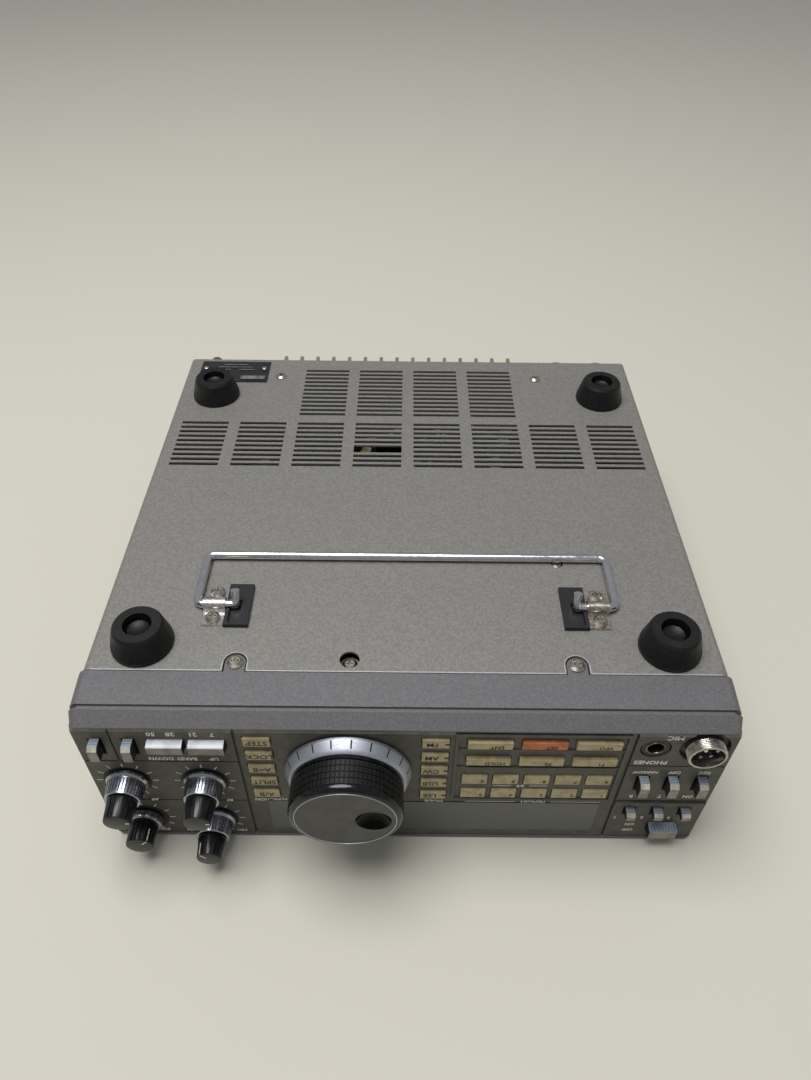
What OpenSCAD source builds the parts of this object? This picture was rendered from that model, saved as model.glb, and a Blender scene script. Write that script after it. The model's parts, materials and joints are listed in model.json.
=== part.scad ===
// Mobile amateur-radio transceiver, lying upside down on its top cover.
// Millimetres. X to the right seen from the front panel, Y from the front panel to the rear,
// Z up, out of the underside with its feet and tilt bail. The origin is the middle of the face
// that it lies on.

/* [Case] */
// width across the sheet covers
case_w = 260; // [240:1:280]
// outer face of the top cover to outer face of the underside cover
case_h = 92.4; // [84:0.2:98]
// front panel's face to the rear edge of the covers
case_d = 254; // [230:1:270]
// sheet thickness of the covers
sheet = 1; // [0.8:0.1:2]
// depth of the cast bezel behind the panel's face
bezel_d = 23.6; // [18:0.2:30]

/* [Front panel] */
// panel thickness
panel_t = 3; // [2:0.5:5]
// radius of the tuning dial's skirt
dial_r = 25.8; // [20:0.2:30]
// travel of the keys
key_travel = 1.2; // [0.8:0.1:2]
// gap round keys and levers
gap = 0.3; // [0.2:0.05:0.6]

/* [Underside] */
// wire diameter of the tilt bail
wire_d = 3.8; // [3:0.1:5]
// reach of the bail from its pivot to the crossbar
bail_reach = 29.5; // [20:0.5:50]
// foot height
foot_h = 12; // [8:0.5:20]
// radius of a foot at the cover
foot_r = 12.8; // [10:0.2:18]
// width of one vent slot
slot_w = 2.1; // [1:0.1:2.6]
// slot pitch
slot_p = 3.95; // [3:0.05:6]

/* [Rear] */
// how far the heat-sink fins stand out behind the covers
fin_d = 12.5; // [6:0.5:20]
// number of fins
fins = 15; // [8:1:24]

/* [Hidden] */
$fn = 48;

e = 0.01;
yf = -case_d/2;                  // panel face
yr = case_d/2;                   // rear edge of the covers
yc = yf + bezel_d;               // covers' front edge
yp = yf + panel_t;               // panel's rear face
panel_top = case_h - 5.4;        // panel face's edge next to the underside
panel_bot = 2.3;                 // panel face's edge next to the surface it lies on

// keys: [centre x, centre z, width, height]
mode_x = -58.4; func_x = 11.9; col_h = 5.5; col_w = 10.8; col_p = 9.9; col_z = 79.1; col_out = 1;
small_x = 28.8; small_p = 12.9; rib_z = [74.6, 61.4]; small_w = 10.6; small_h = 6.8; small_out = 0.6;
big_x = 33.3; big_p = 21.35; big_w = 17.8; big_h = 4.5; big_out = 1.6;
digit_z = [52, 40.8]; big_z = [79.2, 67.2];
function mode_key(i) = [mode_x, col_z - col_p*(i - 1), col_w, col_h];
function func_key(i) = [func_x, col_z - col_p*(i - 1), col_w, col_h];
function big_key(i) = [big_x + big_p*((i - 1) % 3), big_z[i > 3 ? 1 : 0], big_w, big_h];
// digits read 1 to 5 and 6 to 0 from the left when the set stands on its feet
function digit_key(i) = let (j = (i + 9) % 10)
  [small_x + small_p*(4 - j % 5), digit_z[j > 4 ? 0 : 1], small_w, small_h];
function band_key(i) = [-94.3 + 16.3*(i - 1), 76.4, 14.2, 5.8];
power_key = [114.8, 12.15, 12.2, 6.1];

// levers: [centre x, lower edge of its slot, upper edge of its slot, lever height, lever reach]
lever_w = 3.9; slot_gap = 0.8;
function lever_slot(g, i) = g == 0 ? [-121.8 + 13.1*(i - 1), 68.4, 79.8, 8.6, 5.2]
  : g == 1 ? [98.4 + 12.1*(i - 1), 43.8, 55.4, 8.6, 5.2]
  : [98 + 11.95*(i - 1), 22.6, 29.2, 3.8, 4.2];

// knobs: [centre x, centre z]
k1 = [-115.5, 48.2]; k2 = [-83.3, 48.2]; k3 = [-114.5, 16.5]; k4 = [-83.6, 16.3];
dial = [-23.2, 58.1];
tube_r = 3.0; shaft_r = 2.0; run = 0.05;
phones = [98.8, 76]; mic = [118, 76.9];

// underside
foot_x = 108.6; foot_y = 89.6;
pivot_y = -69.8; wire_r = wire_d/2; pivot_z = case_h + 0.3 + wire_r;
leg_x = 89.8; strap_x = 81.9; strap_w = 9.2; strap_screw = 7.1; stub_x = 73; bend = 3;
stub_lean = 70; stub_l = 8.6;
strap_t = 1;
notch_x = 69.2; notch_y = yc + 4.4;
side_y = [-95.6, 92.8]; side_z = [7.4, 85];

// rear sockets: [x, z] of the four aerial sockets
aerials = [[-116.6, 67], [-92, 67], [92, 76], [116.6, 76]];
ground_post = [-117.3, 84.6];
aerial_r = 7.9;
jack_x = 78; jack_p = 10.5; jack_z = 56.5;

module at_y(x, y, z) translate([x, y, z]) rotate([90, 0, 0]) children();
// disc or pin along Y from y0 (front) to y1 (rear)
module rod(c, r, y0, y1) at_y(c[0], y1, c[1]) cylinder(r=r, h=y1 - y0);
module taper(c, r0, r1, y0, y1) at_y(c[0], y1, c[1]) cylinder(r1=r1, r2=r0, h=y1 - y0);
module box(x0, x1, y0, y1, z0, z1) translate([x0, y0, z0]) cube([x1 - x0, y1 - y0, z1 - z0]);

module rrect(w, h, r) {
  translate([-w/2 + r, 0]) square([w - 2*r, h]);
  translate([-w/2, r]) square([w, h - 2*r]);
  for (x = [-w/2 + r, w/2 - r], y = [r, h - r]) translate([x, y]) circle(r=r);
}
module tunnel(w, h, r, y0, y1, z0=0) at_y(0, y1, z0) linear_extrude(y1 - y0) rrect(w, h, r);

// pan-head screw, head upward on z = 0, with a cross recess
module screw_up(r=3.1, h=1.9, shank=1.6, l=5) {
  difference() {
    union() {
      cylinder(r=r, h=h*0.45);
      translate([0, 0, h*0.45 - e]) cylinder(r1=r, r2=r*0.62, h=h*0.55);
      translate([0, 0, -l]) cylinder(r=shank, h=l + e);
    }
    for (a = [0, 90]) rotate(a) translate([-r*0.5, -0.35, h - 1]) cube([r, 0.7, 2]);
  }
}

module cover_skin(z0, z1) intersection() {
  difference() {
    tunnel(case_w, case_h, 2.4, yc, yr);
    tunnel(case_w - 2*sheet, case_h - 2*sheet, 1.2, yc - 1, yr + 1, sheet);
  }
  box(-case_w, case_w, yc - 1, yr + 1, z0, z1);
}

// ---- covers ----
// tongue round a front screw, open towards the bezel; also the notch that clears it
module tab(x, r, z0, z1) {
  translate([x, notch_y, z0]) cylinder(r=r, h=z1 - z0);
  box(x - r, x + r, yc - 1.5, notch_y, z0, z1);
}

module vent(x, y_front, n) for (i = [0:n - 1])
  box(x - 12.6, x + 12.6, y_front + slot_p*i - slot_w/2, y_front + slot_p*i + slot_w/2,
      case_h - 3, case_h + 3);

module bottom_cover() color([0.55, 0.54, 0.51]) difference() {
  cover_skin(46.4, case_h + 1);
  for (i = [-3.5:1:3.5]) vent(31.5*i, 27.6, 10);
  for (i = [-1.5:1:1.5]) vent(31.5*i, 72.1, 12);
  // one rib of the vents is broken out, which joins two slots into a wide one
  box(-15.75 - 12.6, -15.75 + 12.6, 27.6 + 3*slot_p, 27.6 + 4*slot_p, case_h - 3, case_h + 3);
  for (s = [-1, 1]) {
    tab(s*notch_x, 4.7, case_h - 3, case_h + 3);
    translate([s*foot_x, -foot_y, case_h - 4]) cylinder(r=1.9, h=8);
    translate([s*foot_x, foot_y, case_h - 4]) cylinder(r=1.9, h=8);
    for (t = [-1, 1])
      translate([s*strap_x, pivot_y + t*strap_screw, case_h - 4]) cylinder(r=1.9, h=8);
    translate([s*74.3, 108.7, case_h - 4]) cylinder(r=1.9, h=8);
    for (y = side_y) translate([s*(case_w/2 - 4), y, side_z[1]]) rotate([0, s*90, 0]) cylinder(r=1.9, h=8);
  }
  translate([-23, -97.2, case_h - 4]) cylinder(r=4.1, h=8);
  translate([68.3, -41.6, case_h - 4]) cylinder(r=2.7, h=8);
}

module top_cover() color([0.55, 0.54, 0.51]) difference() {
  cover_skin(-1, 46);
  // sound slots over the loudspeaker
  for (i = [-4:4]) box(20, 80, 40 + 5*i - 1, 40 + 5*i + 1, -3, 3);
  for (s = [-1, 1], y = side_y)
    translate([s*(case_w/2 - 4), y, side_z[0]]) rotate([0, s*90, 0]) cylinder(r=1.9, h=8);
}

// ---- front ----
module front_bezel() color([0.45, 0.44, 0.45]) {
  difference() {
    union() {
      // main band, a little wider than the covers at its rear
      hull() {
        tunnel(case_w + 3, case_h, 3.4, yc - 2.4, yc - 0.3);
        tunnel(case_w + 1.2, case_h, 3.4, yp + 2.2, yp + 4);
      }
      // front band, one slope from the groove to the panel's edge
      hull() {
        tunnel(case_w + 1, case_h, 3.4, yp + 2, yp + 2.3);
        tunnel(case_w - 1.4, panel_top + 0.1, 2, yf - 0.4, yf + 0.2, 0.8);
      }
    }
    tunnel(case_w - 7, case_h - 7, 2, yp - 0.5, yc + 1, 3.5);
    box(-case_w, case_w, yf - 3, yp + 0.01, panel_bot - 0.2, panel_top + 0.2);
    // groove between the two bands
    difference() {
      tunnel(case_w + 6, case_h + 4, 3.4, yp + 2.3, yp + 4.3, -2);
      tunnel(case_w - 1.4, case_h - 2.4, 2.6, yp + 2, yp + 5, 1.2);
    }
  }
  // tongues that take the cover's two front screws
  for (s = [-1, 1]) difference() {
    tab(s*notch_x, 4.2, case_h - 2.7, case_h - 0.5);
    translate([s*notch_x, notch_y, case_h - 4]) cylinder(r=1.9, h=8);
  }
}

module key_hole(k, g=0.35) box(k[0] - k[2]/2 - g, k[0] + k[2]/2 + g, yf - 3, yp + 1,
                               k[1] - k[3]/2 - g, k[1] + k[3]/2 + g);

module front_panel() color([0.29, 0.28, 0.26]) difference() {
  union() {
    difference() {
      box(-case_w/2, case_w/2, yf, yp, panel_bot, panel_top);
      // sloping edge next to the underside
      translate([-case_w, 0, 0]) rotate([90, 0, 90]) linear_extrude(2*case_w)
        polygon([[yf - 1, panel_top - 2.2], [yf, panel_top - 2.2], [yf + 1.3, panel_top + 0.1], [yf - 1, panel_top + 1]]);
    }
    // raised frame of the keypad, with a rib under each row of wide keys
    difference() {
      box(19.6, 88, yf - 0.8, yf + 1, 35.4, 85.6);
      box(20.8, 86.8, yf - 2, yf + 2, 36.4, 84.6);
    }
    box(20.8, 86.8, yf, yf + 1.5, 36, 85);
    for (z = rib_z) box(20.7, 86.9, yf - 0.6, yf + 0.5, z - 0.5, z + 0.5);
    // raised brow of the right-hand module
    box(90.8, 129.5, yf - 0.9, yf + e, 31.8, 34.2);
  }
  // module joints and relief lines
  for (x = [-67, 90]) box(x - 0.6, x + 0.6, yf - 2, yf + 1, -1, case_h);
  box(-115.9, -115.1, yf - 2, yf + 0.6, 63.8, case_h);
  for (z = [63.3, 31.8]) box(-case_w, -67, yf - 2, yf + 0.5, z - 0.35, z + 0.35);
  for (z = [63.1, 34.8]) box(90, case_w, yf - 2, yf + 0.5, z - 0.35, z + 0.35);
  for (i = [1:5]) { key_hole(mode_key(i)); key_hole(func_key(i)); }
  for (i = [1:6]) key_hole(big_key(i));
  for (i = [0:9]) key_hole(digit_key(i));
  for (i = [1:2]) key_hole(band_key(i));
  key_hole(power_key);
  for (g = [0:2], i = [1:(g == 0 ? 2 : 3)]) let (l = lever_slot(g, i))
    box(l[0] - lever_w/2 - slot_gap, l[0] + lever_w/2 + slot_gap, yf - 3, yp + 1, l[1], l[2]);
  for (k = [k1, k2, k4]) rod(k, tube_r + run, yf - 1, yp + 6);
  rod(k3, shaft_r + run, yf - 1, yp + 6);
  rod(dial, tube_r + run, yf - 1, yp + 6);
  // display opening with a step that the window sits in
  box(-59.4, 84.4, yf - 1, yf + 1.8, 8, 32.5);
  box(-57, 82, yf - 1, yp + 1, 10, 30.5);
  // sunken rings round the jacks
  rod(phones, 6.2, yf - 1, yf + 1.6); rod(phones, 4.6, yf - 1, yp + 1);
  rod(mic, 10, yf - 1, yp + 1);
}

module display_window() color([0.2, 0.23, 0.2, 0.6]) {
  box(-59.2, 84.2, yf - 0.3, yf + 1.7, 8.2, 32.3);
}

// a cap that stands out of the panel, with a flange behind it
module key(k, out=1.3) {
  box(k[0] - k[2]/2, k[0] + k[2]/2, yf - out, yp + 2, k[1] - k[3]/2, k[1] + k[3]/2);
  box(k[0] - k[2]/2 - 0.8, k[0] + k[2]/2 + 0.8, yp + 0.3, yp + 1.2, k[1] - k[3]/2 - 0.8, k[1] + k[3]/2 + 0.8);
}
module band_bar(k) union() {
  translate([k[0] - k[2]/2, 0, k[1]]) rotate([90, 0, 90]) linear_extrude(k[2])
    polygon([[yp + 2, -k[3]/2], [yf - 3.2, -k[3]/2], [yf - 3.5, -k[3]/2 + 0.4], [yf - 3.5, k[3]/2 - 0.9],
             [yf - 3.1, k[3]/2 - 0.5], [yf - 0.6, k[3]/2], [yp + 2, k[3]/2]]);
  box(k[0] - k[2]/2 - 0.5, k[0] + k[2]/2 + 0.5, yp + 0.3, yp + 1.2, k[1] - k[3]/2 - 1.4, k[1] + k[3]/2 + 1.4);
}
module power_button() color([0.5, 0.53, 0.55]) {
  difference() {
    box(power_key[0] - 6.1, power_key[0] + 6.1, yf - 4.6, yp + 2, 9.1, 15.2);
    for (i = [-4:4]) box(power_key[0] + 1.25*i - 0.3, power_key[0] + 1.25*i + 0.3, yf - 6, yf - 0.6, 14.7, 16);
  }
  box(power_key[0] - 7.1, power_key[0] + 7.1, yp + 0.3, yp + 1.2, 8.3, 16);
}

// paddle that slides up and down in its slot; it rests at the slot's upper end
module lever(g, i) let (l = lever_slot(g, i), z1 = l[2] - 0.4, z0 = z1 - l[3], x = l[0], out = l[4])
  color([0.62, 0.65, 0.68]) {
    difference() {
      translate([x - lever_w/2, 0, 0]) rotate([90, 0, 90]) linear_extrude(lever_w)
        polygon([[yp + 2.4, z0], [yf - out, z0], [yf - out, z1 - out*0.3], [yf - out*0.68, z1], [yp + 2.4, z1]]);
      for (j = [0:3]) box(x - lever_w, x + lever_w, yf - 2.8 + 0.7*j, yf - 2.5 + 0.7*j, z1 - 0.3, z1 + 1);
    }
    box(x - lever_w/2 - 1.6, x + lever_w/2 + 1.6, yp + 0.3, yp + 1.3, z0, z1);
  }

// ---- knobs ----
module flutes(c, r, y0, y1, n, d) for (i = [0:n - 1])
  rod([c[0] + (r + d*0.45)*cos(360*i/n), c[1] + (r + d*0.45)*sin(360*i/n)], d, y0, y1);

module outer_ring(c) color([0.75, 0.75, 0.76]) difference() {
  union() {
    rod(c, 8.8, yf - 1.6, yf - 0.4);
    rod(c, 7.6, yf - 9.8, yf - 1.5);
    rod(c, tube_r, yf - 0.5, yp + 5);
  }
  flutes(c, 7.75, yf - 9.1, yf - 2.4, 24, 0.6);
  rod(c, shaft_r + run, yf - 12, yp + 6);
}
module inner_knob(c, r=6.1, tip=19.4) color([0.09, 0.09, 0.1]) {
  difference() {
    union() {
      rod(c, r - 0.2, yf - tip + 0.8, yf - 10.2);
      taper(c, r - 1.3, r - 0.5, yf - tip, yf - tip + 0.81);
      rod(c, shaft_r, yf - 10.7, yp + 9);
    }
    flutes(c, r, yf - tip + 1.6, yf - 11.4, 16, 0.6);
    box(c[0] + r - 3.2, c[0] + r - 1, yf - tip - 1, yf - tip + 0.4, c[1] - 0.35, c[1] + 0.35);
  }
}
module shift_knob() color([0.09, 0.09, 0.1]) {
  difference() {
    union() {
      rod(k3, 7.7, yf - 4.2, yf - 0.4);
      rod(k3, 6, yf - 13, yf - 4.1);
      taper(k3, 5, 5.8, yf - 13.8, yf - 12.99);
      rod(k3, shaft_r, yf - 1, yp + 9);
    }
    flutes(k3, 6.2, yf - 12.2, yf - 5.2, 16, 0.6);
    box(k3[0] + 2.8, k3[0] + 4.8, yf - 15, yf - 13.4, k3[1] - 0.35, k3[1] + 0.35);
  }
}
module tuning_dial() color([0.12, 0.12, 0.13]) {
  difference() {
    union() {
      rod(dial, dial_r, yf - 2.2, yf - 0.5);
      taper(dial, dial_r - 2.2, dial_r, yf - 6.8, yf - 2.19);
      rod(dial, 22.8, yf - 20.4, yf - 6.7);
      taper(dial, 20.6, 22.7, yf - 22, yf - 20.39);
      rod(dial, tube_r, yf - 1, yp + 9);
    }
    flutes(dial, 22.9, yf - 18.4, yf - 8, 60, 0.7);
    // finger dimple
    translate([dial[0] + 10, yf - 26.6, dial[1] - 0.8]) sphere(r=8.6);
  }
}

// ---- underside ----
module feet() color([0.06, 0.06, 0.06]) for (x = [-foot_x, foot_x], y = [-foot_y, foot_y])
  translate([x, y, case_h]) difference() {
    union() {
      cylinder(r=foot_r, h=2);
      translate([0, 0, 2 - e]) cylinder(r1=foot_r, r2=10.4, h=foot_h - 2.99);
      translate([0, 0, foot_h - 1]) cylinder(r1=10.4, r2=9.6, h=1);
    }
    translate([0, 0, 4]) cylinder(r1=5.2, r2=6.2, h=foot_h);
    translate([0, 0, -1]) cylinder(r=1.9, h=8);
  }

module bail_straps() color([0.72, 0.7, 0.68]) for (s = [-1, 1])
  translate([s*strap_x - strap_w/2, 0, 0]) difference() {
    union() {
      box(0, strap_w, pivot_y - 10.6, pivot_y + 10.6, case_h, case_h + strap_t);
      translate([0, pivot_y, pivot_z]) rotate([0, 90, 0]) cylinder(r=wire_r + run + strap_t, h=strap_w);
      box(0, strap_w, pivot_y - wire_r - run - strap_t, pivot_y + wire_r + run + strap_t, case_h, pivot_z);
    }
    translate([-1, pivot_y, pivot_z]) rotate([0, 90, 0]) cylinder(r=wire_r + run, h=strap_w + 2);
    box(-1, strap_w + 1, pivot_y - wire_r - run, pivot_y + wire_r + run, case_h - 1, pivot_z);
    for (t = [-1, 1]) translate([strap_w/2, pivot_y + t*strap_screw, case_h - 1]) cylinder(r=1.9, h=4);
  }

module bail_pads() color([0.08, 0.08, 0.09]) for (s = [-1, 1]) difference() {
  box(s > 0 ? 66.6 : -77.1, s > 0 ? 77.1 : -66.6, pivot_y - 11.2, pivot_y + 11.8, case_h, case_h + 2);
  // the wire's end lies across the pad and drops into its groove when the bail stands
  box(s > 0 ? 70.5 : -78, s > 0 ? 78 : -70.5, pivot_y - 2.4, pivot_y + 2.4, case_h + 0.25, case_h + 3);
  box(s*stub_x - 2.5, s*stub_x + 2.5, pivot_y - 8.6, pivot_y, case_h + 0.25, case_h + 3);
  translate([s*stub_x, pivot_y - 8.6, case_h + 0.25]) cylinder(r=2.5, h=4);
}

module wire_x(x0, x1, y) translate([x0, y, pivot_z]) rotate([0, 90, 0]) cylinder(r=wire_r, h=x1 - x0);
module bail() color([0.8, 0.8, 0.82]) {
  wire_x(-leg_x + bend, leg_x - bend, pivot_y + bail_reach);
  for (s = [-1, 1]) {
    translate([s*leg_x, pivot_y + bend, pivot_z]) rotate([-90, 0, 0]) cylinder(r=wire_r, h=bail_reach - 2*bend);
    // corner at the crossbar, corner at the pivot
    translate([s*(leg_x - bend), pivot_y + bail_reach - bend, pivot_z]) rotate(s > 0 ? 0 : 90)
      rotate_extrude(angle=90) translate([bend, 0]) circle(r=wire_r);
    translate([s*(leg_x - bend), pivot_y + bend, pivot_z]) rotate(s > 0 ? 270 : 180)
      rotate_extrude(angle=90) translate([bend, 0]) circle(r=wire_r);
    wire_x(s > 0 ? stub_x : -leg_x + bend, s > 0 ? leg_x - bend : -stub_x, pivot_y);
    translate([s*stub_x, pivot_y, pivot_z]) sphere(r=wire_r);
    translate([s*stub_x, pivot_y, pivot_z]) rotate([stub_lean - 90, 0, 0])
      cylinder(r=wire_r, h=stub_l - wire_r);
  }
}

module screws() color([0.75, 0.68, 0.55]) {
  for (s = [-1, 1]) {
    for (t = [-1, 1]) translate([s*strap_x, pivot_y + t*strap_screw, case_h + strap_t]) screw_up(3.2, 2);
    translate([s*notch_x, notch_y, case_h - 0.49]) screw_up(3.3, 1.6, l=5);
    translate([s*74.3, 108.7, case_h]) screw_up(2.9, 1.6);
    for (y = [-foot_y, foot_y]) translate([s*foot_x, y, case_h + 4]) screw_up(3.6, 2, l=9);
    for (y = side_y, z = side_z) translate([s*case_w/2, y, z]) rotate([0, s*90, 0]) screw_up(2.8, 1.7, l=4);
  }
  translate([68.3, -41.6, case_h - 1.28]) screw_up(2.6, 1.45);
  translate([-23, -97.2, case_h - 4.4]) screw_up(3.2, 1.9, l=3);
}

module type_plate() color([0.1, 0.1, 0.1]) {
  box(-122.3, -81.9, 102.7, 124, case_h, case_h + 0.5);
  for (x = [-118.9, -85.3]) translate([x, 116, case_h + 0.49]) cylinder(r1=1.4, r2=0.8, h=0.7);
}

// ---- inside and rear ----
module chassis() color([0.6, 0.6, 0.6]) difference() {
  union() {
    // mid-floor, side rails and stand-offs, each a piece of its own bolted into the frame
    box(-124.85, 124.85, yc - 1.95, yr - 4.15, 44.6, 47);
    for (s = [-1, 1]) {
      box(s > 0 ? 124.9 : -128.7, s > 0 ? 128.7 : -124.9, yc + 0.2, yr - 4.15, 2.6, case_h - 3.8);
      translate([s*notch_x, notch_y, 47.02]) cylinder(r=3.4, h=case_h - 2.75 - 47.02);
      translate([s*74.3, 108.7, 47.02]) cylinder(r=3.4, h=case_h - 1.3 - 47.02);
      for (y = [-foot_y, foot_y]) translate([s*foot_x, y, 47.02]) cylinder(r=3.4, h=case_h - 1.3 - 47.02);
      for (t = [-1, 1]) translate([s*strap_x, pivot_y + t*strap_screw, 47.02]) cylinder(r=2.9, h=case_h - 1.3 - 47.02);
    }
    translate([68.3, -41.6, 47.02]) cylinder(r=2.9, h=case_h - 1.3 - 47.02);
    translate([-23, -97.2, 47.02]) cylinder(r=4.4, h=case_h - 4.4 - 47.02);
    // front frame that the bezel and panel are fixed to
    for (z = [4, 84]) box(-125, 125, yc - 6, yc - 2, z, z + 3);
    for (s = [-1, 1]) box(s > 0 ? 121.5 : -125, s > 0 ? 125 : -121.5, yc - 6, yc - 2, 4, 87);
    // rear panel and fins
    tunnel(257.2, case_h - 2.6, 2, yr - 4.1, yr - 0.4, 1.3);
    box(-77, 62, yr - 0.5, yr + 2, 12, 84);
    for (i = [0:fins - 1]) box(-76 + 9.75*i, -74 + 9.75*i, yr + 1.9, yr + fin_d, 12, 87.4);
  }
  for (s = [-1, 1]) {
    translate([s*notch_x, notch_y, 60]) cylinder(r=1.58, h=40);
    translate([s*74.3, 108.7, 60]) cylinder(r=1.58, h=40);
    for (y = [-foot_y, foot_y]) translate([s*foot_x, y, 60]) cylinder(r=1.58, h=40);
    for (t = [-1, 1]) translate([s*strap_x, pivot_y + t*strap_screw, 60]) cylinder(r=1.58, h=40);
    for (y = side_y, z = side_z) translate([s*(case_w/2 - 8), y, z]) rotate([0, s*90, 0])
      cylinder(r=1.58, h=8);
  }
  translate([68.3, -41.6, 60]) cylinder(r=1.58, h=40);
  translate([-23, -97.2, 60]) cylinder(r=1.58, h=40);
  // rear openings: aerial sockets, jacks and the power inlet
  for (a = aerials) rod(a, 6.6, yr - 6, yr + 2);
  rod(ground_post, 2.2, yr - 6, yr + 2);
  for (i = [0:4]) rod([jack_x + jack_p*i, jack_z], 4.2, yr - 6, yr + 2);
  box(-122, -86, yr - 6, yr + 2, 20, 40);
}

module circuit_boards() color([0.1, 0.35, 0.2]) {
  // main board above the mid-floor, control board below it, panel board behind the keys
  difference() {
    union() {
      box(-118, 118, -84, 112, 52, 53.6);
      for (x = [-104, -62, -20, 22, 64]) box(x, x + 34, 34, 66, 53.5, 66);
      for (x = [-56, -18, 20]) box(x, x + 26, 76, 104, 53.5, 72);
      for (x = [-100:25:100]) translate([x, -30, 53.5]) cylinder(r=5, h=12);
      for (x = [-90:30:90], y = [-6, 14]) box(x, x + 16, y, y + 12, 53.5, 57);
      for (x = [-90:60:90], y = [-70, 100]) translate([x, y, 47.01]) cylinder(r=2.4, h=5.1);
    }
    for (s = [-1, 1]) {
      for (y = [-foot_y, foot_y]) translate([s*foot_x, y, 40]) cylinder(r=4.4, h=30);
      for (t = [-1, 1]) translate([s*strap_x, pivot_y + t*strap_screw, 40]) cylinder(r=4, h=30);
      translate([s*74.3, 108.7, 40]) cylinder(r=4.4, h=30);
    }
    translate([68.3, -41.6, 40]) cylinder(r=4, h=30);
  }
  box(-110, 10, -80, 100, 34, 35.6);
  for (x = [-100:30:-10], y = [-60, -20, 20]) box(x, x + 20, y, y + 24, 29, 34.01);
  for (x = [-90, -10], y = [-70, 90]) translate([x, y, 35.5]) cylinder(r=2.4, h=9.09);
  box(-66, 88, yp + 9.6, yp + 11.2, 8, 84);
  box(-57, 82, yp + 2.6, yp + 9.61, 9.6, 30.8);
}

module loudspeaker() color([0.2, 0.2, 0.22]) {
  difference() {
    translate([50, 40, sheet]) cylinder(r=38, h=3);
    translate([50, 40, sheet - 1]) cylinder(r=32, h=5);
  }
  difference() {
    translate([50, 40, sheet + 2.9]) cylinder(r1=34, r2=16, h=13);
    translate([50, 40, sheet + 1.9]) cylinder(r1=33, r2=14.6, h=13);
  }
  translate([50, 40, sheet + 14]) cylinder(r=19, h=11);
}

module sockets() color([0.72, 0.72, 0.72]) {
  // microphone socket with eight pins
  difference() {
    rod(mic, 7.5, yf - 4.6, yp + 1);
    rod(mic, 6.6, yf - 6, yf + 0.6);
  }
  rod(mic, 9.6, yf + 1.6, yp + 0.01);
  box(mic[0] - 8, mic[0] + 8, yp, yp + 1, mic[1] - 11.5, mic[1] + 11.5);
  rod(mic, 6.4, yp + 0.9, yp + 9);
  for (i = [0:6]) rod([mic[0] + 4.6*cos(360*i/7), mic[1] + 4.6*sin(360*i/7)], 0.75, yf - 1.4, yf + 0.7);
  rod(mic, 0.75, yf - 1.4, yf + 0.7);
  // phones jack
  difference() {
    union() {
      rod(phones, 5.6, yf + 0.4, yf + 1.59);
      rod(phones, 4.5, yf + 1.5, yp + 1);
      box(phones[0] - 6.5, phones[0] + 6.5, yp + 0.2, yp + 26, phones[1] - 6.5, phones[1] + 6.5);
    }
    rod(phones, 3.2, yf - 1, yp + 24);
  }
  // aerial sockets
  for (a = aerials) difference() {
    union() {
      box(a[0] - 11, a[0] + 11, yr - 0.4, yr + 1.6, a[1] - 11, a[1] + 11);
      rod(a, aerial_r, yr + 1.5, yr + 14.5);
      rod(a, 6.4, yr - 12, yr);
    }
    rod(a, 6.3, yr + 6, yr + 16);
    rod(a, 2, yr - 2, yr + 16);
  }
  // ground post with its knurled nut
  rod(ground_post, 2, yr - 8, yr + 12);
  rod(ground_post, 3.6, yr + 5, yr + 9.5);
  rod(ground_post, 2.9, yr - 0.4, yr + 1.2);
  // small jacks
  for (i = [0:4]) difference() {
    union() {
      rod([jack_x + jack_p*i, jack_z], 4, yr - 12, yr - 0.5);
      rod([jack_x + jack_p*i, jack_z], 4.9, yr - 0.4, yr + 0.8);
    }
    rod([jack_x + jack_p*i, jack_z], 1.8, yr - 11, yr + 2);
  }
  // power inlet: a shell with four blades
  difference() {
    union() {
      box(-121.6, -86.4, yr - 14, yr + 6, 20.4, 39.6);
      box(-124, -84, yr - 0.4, yr + 1, 18, 42);
    }
    box(-119.6, -88.4, yr - 8, yr + 7, 22.4, 37.6);
  }
  for (x = [-115, -107.7, -100.3, -93]) box(x - 0.6, x + 0.6, yr - 8.1, yr - 2, 27, 33);
}

bottom_cover();
top_cover();
front_bezel();
front_panel();
display_window();
chassis();
circuit_boards();
loudspeaker();
sockets();
feet();
screws();
bail_straps();
bail_pads();
type_plate();
bail();
tuning_dial();
outer_ring(k1);  // squelch_knob
inner_knob(k1);  // volume_knob
outer_ring(k2);  // sub_squelch_knob
inner_knob(k2);  // sub_volume_knob
shift_knob();
outer_ring(k4);  // shuttle_ring
inner_knob(k4, 6.4, 22.4);  // channel_knob
power_button();
color([0.75, 0.75, 0.74]) band_bar(band_key(1));  // band_key_1
color([0.75, 0.75, 0.74]) band_bar(band_key(2));  // band_key_2
lever(0, 1);  // lever_left_1
lever(0, 2);  // lever_left_2
lever(1, 1);  // lever_upper_1
lever(1, 2);  // lever_upper_2
lever(1, 3);  // lever_upper_3
lever(2, 1);  // lever_lower_1
lever(2, 2);  // lever_lower_2
lever(2, 3);  // lever_lower_3
color([0.62, 0.59, 0.46]) key(mode_key(1), col_out);  // mode_key_1
color([0.62, 0.59, 0.46]) key(mode_key(2), col_out);  // mode_key_2
color([0.62, 0.59, 0.46]) key(mode_key(3), col_out);  // mode_key_3
color([0.62, 0.59, 0.46]) key(mode_key(4), col_out);  // mode_key_4
color([0.62, 0.59, 0.46]) key(mode_key(5), col_out);  // mode_key_5
color([0.62, 0.59, 0.46]) key(func_key(1), col_out);  // func_key_1
color([0.62, 0.59, 0.46]) key(func_key(2), col_out);  // func_key_2
color([0.62, 0.59, 0.46]) key(func_key(3), col_out);  // func_key_3
color([0.62, 0.59, 0.46]) key(func_key(4), col_out);  // func_key_4
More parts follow.
